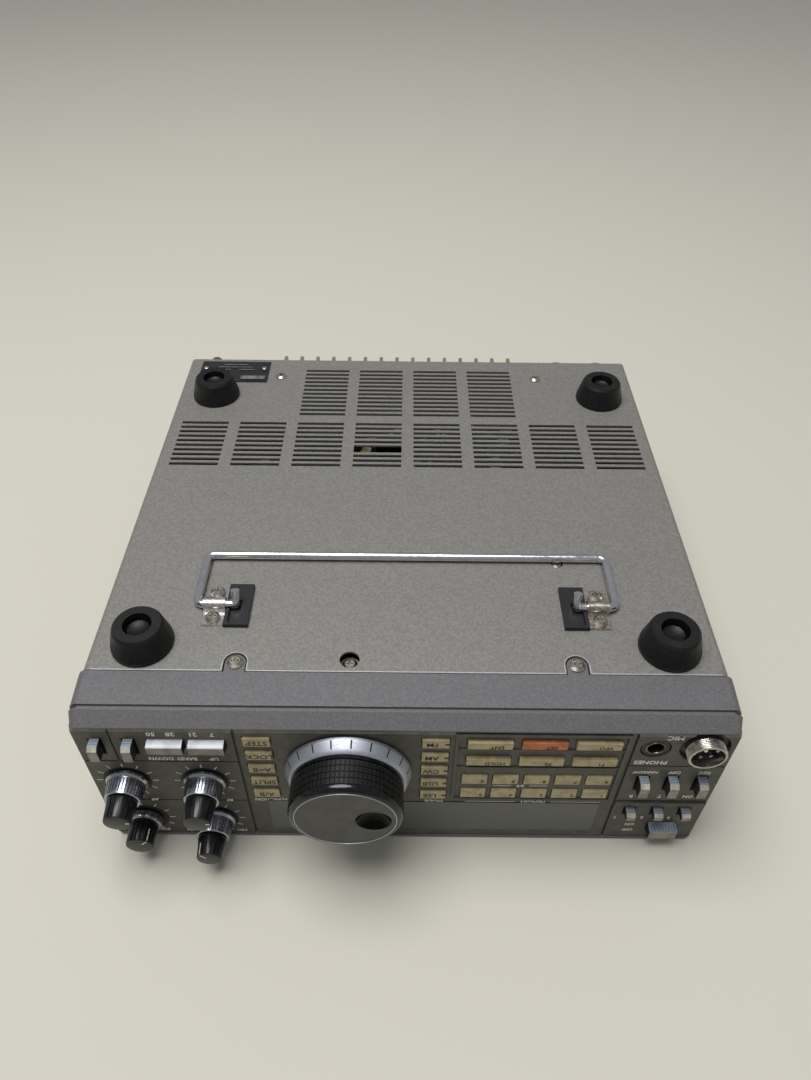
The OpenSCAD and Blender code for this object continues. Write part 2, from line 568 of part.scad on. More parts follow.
color([0.62, 0.59, 0.46]) key(func_key(5), col_out);  // func_key_5
color([0.62, 0.59, 0.46]) key(big_key(1), big_out);  // big_key_1
color([0.78, 0.42, 0.2]) key(big_key(2), big_out);  // big_key_2
color([0.62, 0.59, 0.46]) key(big_key(3), big_out);  // big_key_3
color([0.62, 0.59, 0.46]) key(big_key(4), big_out);  // big_key_4
color([0.62, 0.59, 0.46]) key(big_key(5), big_out);  // big_key_5
color([0.62, 0.59, 0.46]) key(big_key(6), big_out);  // big_key_6
color([0.62, 0.59, 0.46]) key(digit_key(1), small_out);  // digit_key_1
color([0.62, 0.59, 0.46]) key(digit_key(2), small_out);  // digit_key_2
color([0.62, 0.59, 0.46]) key(digit_key(3), small_out);  // digit_key_3
color([0.62, 0.59, 0.46]) key(digit_key(4), small_out);  // digit_key_4
color([0.62, 0.59, 0.46]) key(digit_key(5), small_out);  // digit_key_5
color([0.62, 0.59, 0.46]) key(digit_key(6), small_out);  // digit_key_6
color([0.62, 0.59, 0.46]) key(digit_key(7), small_out);  // digit_key_7
color([0.62, 0.59, 0.46]) key(digit_key(8), small_out);  // digit_key_8
color([0.62, 0.59, 0.46]) key(digit_key(9), small_out);  // digit_key_9
color([0.62, 0.59, 0.46]) key(digit_key(0), small_out);  // digit_key_0
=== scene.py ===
"""Looks of a mobile radio transceiver that lies upside down on its top cover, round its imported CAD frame."""

import json
import math

import bmesh
import bpy
from mathutils import Matrix, Vector


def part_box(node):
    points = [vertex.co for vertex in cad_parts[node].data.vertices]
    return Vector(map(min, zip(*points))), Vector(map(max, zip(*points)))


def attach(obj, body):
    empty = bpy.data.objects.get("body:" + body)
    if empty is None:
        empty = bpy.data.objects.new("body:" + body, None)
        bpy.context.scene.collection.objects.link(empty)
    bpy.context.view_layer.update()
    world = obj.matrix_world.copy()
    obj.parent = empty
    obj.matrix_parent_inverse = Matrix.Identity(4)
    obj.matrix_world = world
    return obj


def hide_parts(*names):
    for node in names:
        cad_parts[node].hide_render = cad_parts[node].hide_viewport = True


bl_info = {
    "name": "Mobile transceiver looks",
    "version": (1, 0, 0),
    "blender": (4, 5, 0),
    "location": "3D View > Sidebar > Transceiver",
    "description": "Finishes, printing and stage of a mobile radio transceiver",
    "category": "Object",
}

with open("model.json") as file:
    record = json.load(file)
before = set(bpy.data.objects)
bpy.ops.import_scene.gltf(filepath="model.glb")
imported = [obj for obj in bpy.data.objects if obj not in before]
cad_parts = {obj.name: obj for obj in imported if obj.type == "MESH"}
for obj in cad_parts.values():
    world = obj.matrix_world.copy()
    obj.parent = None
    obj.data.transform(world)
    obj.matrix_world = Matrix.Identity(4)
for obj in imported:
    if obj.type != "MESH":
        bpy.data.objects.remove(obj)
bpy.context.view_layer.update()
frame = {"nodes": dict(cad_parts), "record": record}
NODES = frame["nodes"]
MOUNTS = {mount["name"]: mount["pos_m"] for mount in frame["record"]["mounts"]}
MM = 0.001
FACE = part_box("display_window")[0].y / MM + 0.3  # panel's face, in mm
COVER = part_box("bail_pads")[0].z / MM  # outer face of the underside cover, in mm
NOTCH = (69.2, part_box("bottom_cover")[0].y / MM + 4.4)  # middle of a front screw notch, as (x, y) in mm
LEGEND = 2.1  # capital height that the table of words is drawn up for, in mm
KEYS = [n for n in NODES if "_key_" in n and not n.startswith("band")]
LEVERS = [n for n in NODES if n.startswith("lever_")]


def middle(name):
    """Middle of a CAD node, as (x, z) in mm."""
    low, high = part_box(name)
    return (low.x + high.x) / 2 / MM, (low.z + high.z) / 2 / MM


def spot(name):
    """Place of a mount or middle of a CAD node, as (x, z) in mm."""
    if name in MOUNTS:
        return MOUNTS[name][0] / MM, MOUNTS[name][2] / MM
    return middle(name)


PHONES = spot("phones_jack")
MICROPHONE = spot("microphone_ring")


# ---------------------------------------------------------------- settings


class CaseSettings(bpy.types.PropertyGroup):
    """Painted sheet and cast bezel."""

    paint: bpy.props.StringProperty(
        name="Case paint", description="Warm grey paint of the covers", default="#84827c"
    )
    paint_dark: bpy.props.StringProperty(
        name="Case paint, worn", description="Darker tone that the paint drifts to", default="#777570"
    )
    bezel: bpy.props.StringProperty(
        name="Bezel paint", description="Textured paint of the front bezel", default="#6d6b6c"
    )
    grain: bpy.props.FloatProperty(
        name="Paint grain",
        description="Size of the paint's orange peel, in mm",
        default=0.6,
        min=0.2,
        max=3.0,
    )


class PanelSettings(bpy.types.PropertyGroup):
    """Moulded front panel, its keys and its printing."""

    plastic: bpy.props.StringProperty(
        name="Panel plastic", description="Dark olive-grey ABS of the panel", default="#4d4a41"
    )
    print_colour: bpy.props.StringProperty(
        name="Printing", description="Pad-printed legends on the panel", default="#dedbd0"
    )
    key: bpy.props.StringProperty(
        name="Key caps", description="Beige ABS of the keys", default="#ada078"
    )
    key_hot: bpy.props.StringProperty(
        name="Orange key", description="The one orange key cap", default="#b8683a"
    )
    legend_height: bpy.props.FloatProperty(
        name="Legend height",
        description="Height of the printing whose table says 2.1, in mm; the rest keeps its proportion",
        default=LEGEND,
        min=1.0,
        max=4.0,
    )


class DialSettings(bpy.types.PropertyGroup):
    """Tuning dial and small knobs."""

    skirt: bpy.props.StringProperty(
        name="Dial skirt", description="Satin silver of the dial's skirt", default="#b4b7c0"
    )
    grip: bpy.props.StringProperty(
        name="Grip", description="Black grip of the dial and small knobs", default="#141416"
    )
    pads: bpy.props.IntProperty(
        name="Dial pads", description="Pads round the dial's grip", default=80, min=40, max=120
    )
    ticks: bpy.props.IntProperty(
        name="Dial ticks", description="Marks round the dial's skirt", default=20, min=10, max=60
    )


class StageSettings(bpy.types.PropertyGroup):
    """Camera, floor and light."""

    lens: bpy.props.FloatProperty(
        name="Lens", description="Focal length for a 36 mm sensor", default=27.257, unit="CAMERA"
    )
    floor: bpy.props.StringProperty(
        name="Floor", description="Plain pale floor", default="#cbc8ba"
    )
    key_power: bpy.props.FloatProperty(
        name="Key light", description="Power of the overhead softbox", default=24.0, unit="POWER"
    )
    fill: bpy.props.FloatProperty(
        name="Fill", description="Strength of the even room light", default=0.3, min=0.0, max=3.0
    )


def settings(name):
    return getattr(bpy.context.scene, "transceiver_" + name)


# ---------------------------------------------------------------- finishes


def linear(text):
    """sRGB hex value to linear RGBA."""
    parts = [int(text[i : i + 2], 16) / 255 for i in (1, 3, 5)]
    return [c / 12.92 if c <= 0.04045 else ((c + 0.055) / 1.055) ** 2.4 for c in parts] + [1.0]


def add(tree, kind, inputs=None, **options):
    """Adds a node, sets its options and fills or links its inputs."""
    node = tree.nodes.new(kind)
    for key, value in options.items():
        setattr(node, key, value)
    for key, value in (inputs or {}).items():
        if isinstance(value, bpy.types.NodeSocket):
            tree.links.new(value, node.inputs[key])
        else:
            node.inputs[key].default_value = value
    return node


def finish(name, base, metallic=0.0, roughness=0.5, ior=1.5, coat=0.0, sheen=0.0):
    """A material with one Principled surface; returns it with its tree and shader."""
    mat = bpy.data.materials.new(name)
    mat.use_nodes = True
    tree = mat.node_tree
    tree.nodes.clear()
    shader = add(
        tree,
        "ShaderNodeBsdfPrincipled",
        {"Base Color": linear(base), "Metallic": metallic, "Roughness": roughness, "Coat Weight": coat},
    )
    if metallic < 0.5:
        shader.inputs["IOR"].default_value = ior
    if sheen:
        shader.inputs["Sheen Weight"].default_value = sheen
    add(tree, "ShaderNodeOutputMaterial", {"Surface": shader.outputs[0]})
    mat.diffuse_color = linear(base)
    return mat, tree, shader


def place(tree):
    return add(tree, "ShaderNodeTexCoord").outputs["Object"]


def drift(tree, shader, base, other, size, low=0.4, high=0.6, detail=3.0, link="Base Color"):
    """Slow change between two tones, patches about size mm across."""
    noise = add(
        tree, "ShaderNodeTexNoise", {"Vector": place(tree), "Scale": 1 / (size * MM), "Detail": detail}
    )
    ramp = add(tree, "ShaderNodeMapRange", {0: noise.outputs[0], 1: low, 2: high})
    mix = add(
        tree,
        "ShaderNodeMix",
        {0: ramp.outputs[0], 6: linear(base), 7: linear(other)},
        data_type="RGBA",
    )
    tree.links.new(mix.outputs[2], shader.inputs[link])
    return ramp.outputs[0]


def roughen(tree, shader, size, depth, detail=2.0, lift=None):
    """Fine relief: grains about size mm across and depth mm high; lift = (low, high) roughness over it."""
    noise = add(
        tree, "ShaderNodeTexNoise", {"Vector": place(tree), "Scale": 1 / (size * MM), "Detail": detail}
    )
    bump = add(
        tree,
        "ShaderNodeBump",
        {"Height": noise.outputs[0], "Strength": 1.0, "Distance": depth * MM},
    )
    tree.links.new(bump.outputs[0], shader.inputs["Normal"])
    if lift:
        span = {0: noise.outputs[0], 1: 0.3, 2: 0.7, 3: lift[0], 4: lift[1]}
        spread = add(tree, "ShaderNodeMapRange", span)
        tree.links.new(spread.outputs[0], shader.inputs["Roughness"])
    return noise.outputs[0]


def case_enamel():
    # stoved metallic enamel on steel sheet: low sheen, a fine orange peel, tone drifting with wear
    case = settings("case")
    mat, tree, shader = finish("stoved_enamel_on_steel", case.paint, 0.25, 0.5)
    drift(tree, shader, case.paint, case.paint_dark, 1.0, 0.42, 0.58)
    roughen(tree, shader, case.grain, 0.016, lift=(0.42, 0.56))
    return mat


def bezel_enamel():
    # wrinkle-sprayed enamel on a die casting: a fine, low grain; the glint along its rounded edges is a
    # painted highlight, a lighter material put on the bevel
    case = settings("case")
    mat, tree, shader = finish("sprayed_enamel_on_casting", case.bezel, 0.25, 0.5)
    drift(tree, shader, case.bezel, "#626061", 0.8, 0.42, 0.58)
    roughen(tree, shader, 0.5, 0.035, lift=(0.42, 0.6))
    return mat


def panel_abs(name="textured_abs", base=None, dark="#424038"):
    # spark-eroded ABS: matt, very slightly speckled
    base = base or settings("panel").plastic
    mat, tree, shader = finish(name, base, 0.0, 0.5)
    drift(tree, shader, base, dark, 6)
    roughen(tree, shader, 0.6, 0.02, lift=(0.42, 0.58))
    return mat


def key_abs(name, base, dark, roughness=0.42):
    # moulded key caps: satin, with grime that gathers in patches
    mat, tree, shader = finish(name, base, 0.0, roughness)
    drift(tree, shader, base, dark, 4, 0.45, 0.62)
    roughen(tree, shader, 0.6, 0.01)
    return mat


def ribbed_abs(name, base, groove, pitch):
    # lever tops: fine ribs across the finger's way, the grooves coloured darker than the ribs
    mat, tree, shader = finish(name, base, 0.0, 0.38)
    ribs = {"Vector": place(tree), "Scale": math.pi / (10 * pitch * MM)}
    wave = add(tree, "ShaderNodeTexWave", ribs, bands_direction="Y")
    tones = {0: wave.outputs[1], 6: linear(groove), 7: linear(base)}
    mix = add(tree, "ShaderNodeMix", tones, data_type="RGBA")
    bump = add(tree, "ShaderNodeBump", {"Height": wave.outputs[1], "Distance": 0.15 * MM})
    tree.links.new(mix.outputs[2], shader.inputs["Base Color"])
    tree.links.new(bump.outputs[0], shader.inputs["Normal"])
    return mat


def chrome(name, base="#d4d4d6", roughness=0.12, wear="#a9a5a2"):
    # bright plating: mirror-like, dulled in patches by handling
    mat, tree, shader = finish(name, base, 1.0, roughness)
    drift(tree, shader, base, wear, 5, 0.5, 0.75)
    roughen(tree, shader, 3.0, 0.006, lift=(roughness, roughness + 0.12))
    return mat


def plated_steel(name, base, other, roughness=0.34, low=0.4, high=0.65):
    # nickel or zinc plate: grey or straw-yellow metal with tarnish
    mat, tree, shader = finish(name, base, 1.0, roughness)
    drift(tree, shader, base, other, 2.2, low, high)
    roughen(tree, shader, 0.5, 0.01, lift=(roughness - 0.06, roughness + 0.14))
    return mat


def black_rubber():
    # moulded rubber: almost black, with a faint dusty bloom
    mat, tree, shader = finish("moulded_rubber", "#0c0c0d", 0.0, 0.45, 1.4)
    drift(tree, shader, "#0a0a0b", "#19191a", 2.4, 0.5, 0.8)
    roughen(tree, shader, 0.6, 0.03, lift=(0.36, 0.6))
    return mat


def grip_plastic(name="satin_black_phenolic", roughness=0.34, base=None):
    # black knob moulding: satin, faint marks
    base = base or settings("dial").grip
    mat, tree, shader = finish(name, base, 0.0, roughness, 1.45)
    drift(tree, shader, base, "#1d1d1e", 2.5, 0.5, 0.8)
    roughen(tree, shader, 0.5, 0.01)
    return mat


def polished_black():
    # finger dimple: deep polished black that mirrors little but the lamp
    mat, tree, shader = finish("polished_dimple", "#040405", 0.0, 0.1, 1.2)
    drift(tree, shader, "#040405", "#0a0a0c", 3)
    return mat


def smoked_acrylic():
    # display window: polished smoked acrylic over an unlit panel, so it reads as dark green-grey gloss
    mat, tree, shader = finish("smoked_acrylic", "#3b4038", 0.0, 0.07, 1.49, coat=0.4)
    drift(tree, shader, "#3b4038", "#32372f", 30)
    return mat


def printing(name, colour):
    # pad-printed ink: flat and dull, a little thin in places
    mat, tree, shader = finish(name, colour, 0.0, 0.6)
    roughen(tree, shader, 0.4, 0.004)
    return mat


def cast_aluminium():
    # die-cast alloy with a yellow chromate on the fins
    mat, tree, shader = finish("chromated_casting", "#aea27c", 0.85, 0.42)
    drift(tree, shader, "#aea27c", "#a0967a", 14)
    roughen(tree, shader, 0.9, 0.03, lift=(0.36, 0.58))
    return mat


def board_laminate():
    # solder-masked board crowded with parts: cells in board green, can silver, black and cream
    mat, tree, shader = finish("populated_board", "#1d3c29", 0.1, 0.45)
    cells = add(
        tree,
        "ShaderNodeTexVoronoi",
        {"Vector": place(tree), "Scale": 1 / (6 * MM)},
        distance="CHEBYCHEV",
    )
    ramp = add(tree, "ShaderNodeValToRGB", {0: cells.outputs["Color"]})
    ramp.color_ramp.interpolation = "CONSTANT"
    stops = [
        (0.0, "#14261c"), (0.35, "#101112"), (0.6, "#1f4a31"),
        (0.72, "#8f9088"), (0.82, "#5b2c1d"), (0.9, "#b9b48e"),
    ]
    ramp.color_ramp.elements[0].color = linear(stops[0][1])
    ramp.color_ramp.elements[1].position = stops[1][0]
    ramp.color_ramp.elements[1].color = linear(stops[1][1])
    for at, colour in stops[2:]:
        ramp.color_ramp.elements.new(at).color = linear(colour)
    tree.links.new(ramp.outputs[0], shader.inputs["Base Color"])
    return mat


def wear_node(name, mat):
    """Gives a CAD node its material."""
    obj = NODES[name]
    obj.data.materials.clear()
    obj.data.materials.append(mat)


def face_finish(obj, mat, test):
    """Gives a second material to the faces whose centre (in mm) and normal pass a test."""
    obj.data.materials.append(mat)
    slot = len(obj.data.materials) - 1
    for face in obj.data.polygons:
        if test(face.center / MM, face.normal):
            face.material_index = slot


def soften(name, width, angle=35, edge_highlight=None):
    """Rounds a CAD node's edges with live modifiers; the optional last material goes on the rounded edges as a
    painted highlight along them.
    """
    obj = NODES[name]
    if edge_highlight:
        obj.data.materials.append(edge_highlight)
    weld = obj.modifiers.new("weld", "WELD")
    weld.merge_threshold = 0.004 * MM
    bevel = obj.modifiers.new("round edges", "BEVEL")
    bevel.width = width * MM
    bevel.segments = 2
    bevel.limit_method = "ANGLE"
    bevel.angle_limit = math.radians(angle)
    bevel.use_clamp_overlap = True
    if edge_highlight:
        bevel.material = len(obj.data.materials) - 1


# ---------------------------------------------------------------- making pieces


def start(operator, **options):
    """Adds a primitive with nothing else selected and its place held in its mesh."""
    if bpy.context.object and bpy.context.object.mode == "EDIT":
        bpy.ops.object.mode_set(mode="OBJECT")
    bpy.ops.object.select_all(action="DESELECT")
    operator(**options)
    bpy.ops.object.transform_apply(location=True, rotation=True, scale=True)
    return bpy.context.object


def edit(obj):
    """Opens a piece in edit mode with everything on it selected."""
    bpy.ops.object.select_all(action="DESELECT")
    obj.select_set(True)
    bpy.context.view_layer.objects.active = obj
    bpy.ops.object.mode_set(mode="EDIT")
    bpy.ops.mesh.select_mode(type="FACE")
    bpy.ops.mesh.select_all(action="SELECT")


def pick(obj, test):
    """Selects the faces whose centre (in mm) and normal pass a test."""
    mesh = bmesh.from_edit_mesh(obj.data)
    for face in mesh.faces:
        face.select_set(bool(test(face.calc_center_median() / MM, face.normal)))
    mesh.select_flush_mode()
    bmesh.update_edit_mesh(obj.data)


def close(obj, name, body, mat, angle=32, node=None):
    """Leaves edit mode, names the piece, gives it its material and body."""
    if obj.mode == "EDIT":
        bpy.ops.mesh.select_all(action="SELECT")
        bpy.ops.mesh.remove_doubles(threshold=0.001 * MM)
        bpy.ops.mesh.normals_make_consistent(inside=False)
        bpy.ops.object.mode_set(mode="OBJECT")
    bpy.ops.object.select_all(action="DESELECT")
    obj.select_set(True)
    bpy.context.view_layer.objects.active = obj
    bpy.ops.object.shade_smooth_by_angle(angle=math.radians(angle))
    obj.name = obj.data.name = name
    if mat is not None:
        obj.data.materials.clear()
        obj.data.materials.append(mat)
    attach(obj, body)
    if node:
        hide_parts(node)
    return obj


def apply(obj, kind, **options):
    """Adds a modifier and applies it."""
    bpy.ops.object.select_all(action="DESELECT")
    obj.select_set(True)
    bpy.context.view_layer.objects.active = obj
    modifier = obj.modifiers.new(kind.lower(), kind)
    for key, value in options.items():
        setattr(modifier, key, value)
    bpy.ops.object.modifier_apply(modifier=modifier.name)


def join(parts):
    bpy.ops.object.select_all(action="DESELECT")
    for part in parts:
        part.select_set(True)
    bpy.context.view_layer.objects.active = parts[0]
    bpy.ops.object.join()
    return parts[0]


def turned(x, z, profile, sides=96):
    """Turns a closed body about an axis along Y: profile is (radius, way out of the panel's face) in mm."""
    rings = [(radius, FACE - out) for radius, out in profile]
    (r, y), rest = rings[0], rings[1:]
    obj = start(
        bpy.ops.mesh.primitive_circle_add,
        vertices=sides,
        radius=r * MM,
        fill_type="NGON",
        location=(x * MM, y * MM, z * MM),
        rotation=(math.pi / 2, 0, 0),
    )
    edit(obj)
    for r1, y1 in rest:
        bpy.ops.mesh.extrude_region_move(TRANSFORM_OT_translate={"value": (0, (y1 - y) * MM, 0)})
        bpy.ops.transform.resize(value=(r1 / r, 1, r1 / r), center_override=(x * MM, y1 * MM, z * MM))
        r, y = r1, y1
    bpy.ops.mesh.select_all(action="SELECT")
    bpy.ops.mesh.normals_make_consistent(inside=False)
    return obj


def hoop(x, z, major, minor, y, around=64):
    """Round wire bent to a ring about an axis along Y, with sizes in mm."""
    return start(
        bpy.ops.mesh.primitive_torus_add,
        major_segments=around,
        minor_segments=10,
        major_radius=major * MM,
        minor_radius=minor * MM,
        location=(x * MM, y * MM, z * MM),
        rotation=(math.pi / 2, 0, 0),
    )


def flute(obj, x, z, sides, every, wide, y0, y1, depth, shift=0):
    """Sinks (or, with depth below 0, raises) strips of a turned body that is open in edit mode."""

    def on_strip(c, n):
        if not y0 < c.y < y1 or abs(n.y) > 0.7:
            return False
        turn = math.atan2(c.z - z, c.x - x) / (2 * math.pi) * sides
        return (int(math.floor(turn)) + shift) % every < wide

    pick(obj, on_strip)
    bpy.ops.mesh.extrude_region_shrink_fatten(TRANSFORM_OT_shrink_fatten={"value": -depth * MM})


def blocks(boxes):
    """One mesh of small blocks: each is (centre, size, turn about Y in degrees), in mm."""
    first = None
    for centre, size, turn in boxes:
        options = dict(
            size=1,
            location=[c * MM for c in centre],
            scale=[s * MM for s in size],
            rotation=(0, -math.radians(turn), 0),
        )
        if first is None:
            first = start(bpy.ops.mesh.primitive_cube_add, **options)
            edit(first)
        else:
            bpy.ops.mesh.primitive_cube_add(**options)
    bpy.ops.mesh.select_all(action="SELECT")
    return first


def lettering(words, x, z, height, y=None):
    """Raised ink on the panel's face, reading the right way when the set stands on its feet."""
    y = FACE if y is None else y
    bpy.ops.object.select_all(action="DESELECT")
    bpy.ops.object.text_add()
    text = bpy.context.object
    text.data.body = words
    text.data.size = height / 0.7 * MM
    text.data.align_x = "CENTER"
    text.data.align_y = "CENTER"
    text.data.extrude = 0.02 * MM
    text.data.offset = 0.07 * MM
    text.data.resolution_u = 2
    bpy.ops.object.convert(target="MESH")
    text = bpy.context.object
    text.matrix_world = Matrix(
        ((-1, 0, 0, x * MM), (0, 0, -1, (y - 0.03) * MM), (0, -1, 0, z * MM), (0, 0, 0, 1))
    )
    bpy.ops.object.transform_apply(location=True, rotation=True, scale=True)
    return text


# ---------------------------------------------------------------- operators


class TRX_OT_case(bpy.types.Operator):
    """Paints the covers and bezel and finishes the casting, boards and sockets"""

    bl_idname = "trx.case"
    bl_label = "Case and casting"

    def execute(self, context):
        paint, bezel = case_enamel(), bezel_enamel()
        for name in ("bottom_cover", "top_cover"):
            wear_node(name, paint)
        wear_node("front_bezel", bezel)
        # painted highlight: a lighter metal on the bezel's rounded edges, where light catches them
        edge, tree, shader = finish("bezel_edge_painted_highlight", "#8f8d90", 0.5, 0.36)
        roughen(tree, shader, 0.6, 0.01, lift=(0.3, 0.45))
        soften("front_bezel", 0.4, 30, edge)
        wear_node("chassis", cast_aluminium())
        wear_node("circuit_boards", board_laminate())
        wear_node("loudspeaker", grip_plastic("speaker_paper", 0.7))
        wear_node("sockets", plated_steel("nickel_plate", "#bcb8b0", "#a6a198", 0.28))
        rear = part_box("chassis")[1].y / MM
        brass = plated_steel("ground_post_brass", "#b49a5c", "#806d45", 0.3)
        face_finish(NODES["sockets"], brass, lambda c, n: c.x < -110 and c.z > 79 and c.y > rear - 20)
        socket_black = grip_plastic("black_socket_moulding", 0.45, "#101011")

        def off_axis(c, centre):
            return math.hypot(c.x - centre[0], c.z - centre[1])

        def on_moulding(c, n):
            reach = off_axis(c, MICROPHONE)
            return c.y < FACE + 20 and (off_axis(c, PHONES) < 7 or 7.55 < reach or reach < 6.55)

        def on_pins(c, n):
            in_well = FACE - 3 < c.y < FACE + 0.55 and off_axis(c, MICROPHONE) < 6
            return in_well and (abs(n.y) < 0.5 or c.y < FACE + 0.4)

        face_finish(NODES["sockets"], socket_black, on_moulding)
        pins = plated_steel("silver_plated_pins", "#f2f2f4", "#c9c9cc", 0.3)
        face_finish(NODES["sockets"], pins, on_pins)
        wear_node("feet", black_rubber())
        wear_node("bail_pads", grip_plastic("pad_rubber", 0.5, "#17171a"))
        wear_node("screws", plated_steel("bright_nickel_screw", "#c3bdb3", "#9d9589", 0.28))
        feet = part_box("feet")
        face_finish(
            NODES["screws"], grip_plastic("blackened_foot_screw", 0.4, "#141415"),
            lambda c, n: c.z > COVER and min(abs(c.x - feet[0].x / MM), abs(c.x - feet[1].x / MM)) < 18
            and min(abs(c.y - feet[0].y / MM), abs(c.y - feet[1].y / MM)) < 18,
        )
        wear_node("bail_straps", plated_steel("bright_nickel_strap", "#dddbd8", "#c4bfb9", 0.22))
        # the right-hand strap gets a darker, yellower nickel than the left
        right_strap_nickel = plated_steel("right_strap_darker_nickel", "#c9c2b8", "#a0968a", 0.28, 0.42, 0.58)
        face_finish(NODES["bail_straps"], right_strap_nickel, lambda c, n: c.x > 0)
        wear_node("bail", chrome("bright_chrome_wire", "#dcdcde", 0.12, "#c9c9cc"))
        return {"FINISHED"}


class TRX_OT_panel(bpy.types.Operator):
    """Finishes the front panel, its keys, levers and window"""

    bl_idname = "trx.panel"
    bl_label = "Panel, keys and levers"

    def execute(self, context):
        panel = settings("panel")
        wear_node("front_panel", panel_abs())
        # the upward-facing chamfer along the panel's edge is painted lighter: a painted highlight where the
        # overhead light catches it
        face_finish(
            NODES["front_panel"], panel_abs("panel_chamfer_painted_highlight", "#8b877c", "#77746b"),
            lambda c, n: n.z > 0.3 and n.y < -0.3,
        )
        wear_node("display_window", smoked_acrylic())
        beige = key_abs("beige_key_abs", panel.key, "#968a68")
        for name in KEYS:
            wear_node(name, beige)
            soften(name, 0.3)
        wear_node("big_key_2", key_abs("orange_key_abs", panel.key_hot, "#9c5630"))
        tops = ribbed_abs("ribbed_lever_top", "#aab6c4", "#74808e", 0.7)
        # the sloping nose between top and front is painted paler: a painted highlight where light catches the
        # chamfer
        nose = key_abs("lever_nose_painted_highlight", "#c0bcb2", "#a5a095")
        front = key_abs("brown_grey_lever_abs", "#918b80", "#7b756a")
        side = key_abs("shadowed_lever_side", "#1d1c1b", "#141312")
        for name in LEVERS + ["power_button"]:
            wear_node(name, front)
            face_finish(NODES[name], tops, lambda c, n: n.z > 0.8)
            face_finish(NODES[name], nose, lambda c, n: 0.2 < n.z <= 0.8)
            face_finish(NODES[name], side, lambda c, n: abs(n.x) > 0.7)
            soften(name, 0.22)
        for name in ("band_key_1", "band_key_2"):
            # the band keys are two-toned by light: the top is painted pale as a painted highlight, and the
            # front brown-grey as painted shade
            wear_node(name, key_abs("brown_grey_band_key", "#8a857a", "#746f65"))
            pale = key_abs("band_key_top_painted_highlight", "#d3d7da", "#bcc0c3", 0.34)
            face_finish(NODES[name], pale, lambda c, n: n.z > 0.25)
            face_finish(NODES[name], side, lambda c, n: abs(n.x) > 0.7)
            soften(name, 0.3)
        return {"FINISHED"}


class TRX_OT_dial(bpy.types.Operator):
    """Models the tuning dial: silver skirt with ticks, padded grip, face and finger dimple"""

    bl_idname = "trx.dial"
    bl_label = "Tuning dial"

    def execute(self, context):
        dial = settings("dial")
        x, z = middle("tuning_dial")
        silver = plated_steel("satin_silver_plate", dial.skirt, "#b4b7c0", 0.46)
        skirt = turned(
            x,
            z,
            [(20.0, 6.9), (23.3, 6.9), (23.6, 6.7), (24.35, 5.2), (25.7, 2.4),
             (25.8, 2.1), (25.8, 0.9), (25.7, 0.8), (3.0, 0.8), (3.0, -11.9)],
            240,
        )
        close(skirt, "dial_skirt", "tuning_dial", silver, node="tuning_dial")

        def on_tick(c, n):
            turn = math.degrees(math.atan2(c.z - z, c.x - x))
            return FACE - 5.2 < c.y < FACE - 1.5 and (math.floor(turn / 1.5) - 56) % (240 // dial.ticks) == 0

        face_finish(skirt, printing("black_dial_ink", "#141415"), on_tick)
        pads = dial.pads
        rows = []
        for i in range(4):
            rows += [(22.2, 18.8 - 2.6 * i), (22.2, 16.6 - 2.6 * i)]
        grip = turned(
            x,
            z,
            [(19.9, 21.85), (20.6, 21.95), (21.3, 21.8), (21.9, 21.4), (22.4, 20.8),
             (22.7, 20.1), (22.8, 19.4), (22.8, 19.0), (22.2, 18.9), *rows,
             (22.2, 8.4), (22.8, 8.2), (22.8, 7.1), (22.6, 6.8)],
            pads * 4,
        )

        def on_pad(c, n):
            in_row = FACE - 18.8 < c.y < FACE - 8.5 and (c.y - FACE + 18.8) % 2.6 < 2.2
            turn = math.atan2(c.z - z, c.x - x) / (2 * math.pi) * pads * 4
            return in_row and abs(n.y) < 0.3 and int(math.floor(turn)) % 4 < 3

        rubber = grip_plastic("rubber_grip_pads", 0.4, "#101012")
        # the gaps between the pads get a blacker, matt material: painted shade in the grooves
        grip.data.materials.append(grip_plastic("grip_grooves_painted_shade", 0.7, "#030303"))
        grip.data.materials.append(rubber)
        pick(grip, on_pad)
        bpy.ops.mesh.extrude_region_shrink_fatten(TRANSFORM_OT_shrink_fatten={"value": 0.6 * MM})
        grip.active_material_index = 1
        bpy.ops.object.material_slot_assign()
        bpy.ops.object.mode_set(mode="OBJECT")
        dimple = Vector((x + 11.0, FACE - 26.6, z - 0.8))
        hollow = 8.6  # radius of the finger dimple
        ball = start(
            bpy.ops.mesh.primitive_uv_sphere_add,
            segments=96,
            ring_count=64,
            radius=hollow * MM,
            location=dimple * MM,
        )
        apply(grip, "BOOLEAN", object=ball, operation="DIFFERENCE", solver="EXACT")
        bpy.data.objects.remove(ball)
        close(grip, "dial_grip", "tuning_dial", None, node="tuning_dial")
        rim = grip_plastic("glossy_black_rim", 0.16, "#0b0b0c")
        face_finish(grip, rim, lambda c, n: not FACE - 18.95 <= c.y <= FACE - 8.3)
        satin = panel_abs("satin_dial_face", "#474540", "#3b3a36")
        face_finish(grip, satin, lambda c, n: c.y < FACE - 21.8 and n.y < -0.98)
        inside = hollow + 0.05
        face_finish(grip, polished_black(), lambda c, n: (c - dimple).length < inside and c.y < FACE - 16)
        ring = hoop(x, z, 20.1, 0.22, FACE - 21.9, around=120)
        close(ring, "dial_ring", "tuning_dial", silver)
        return {"FINISHED"}


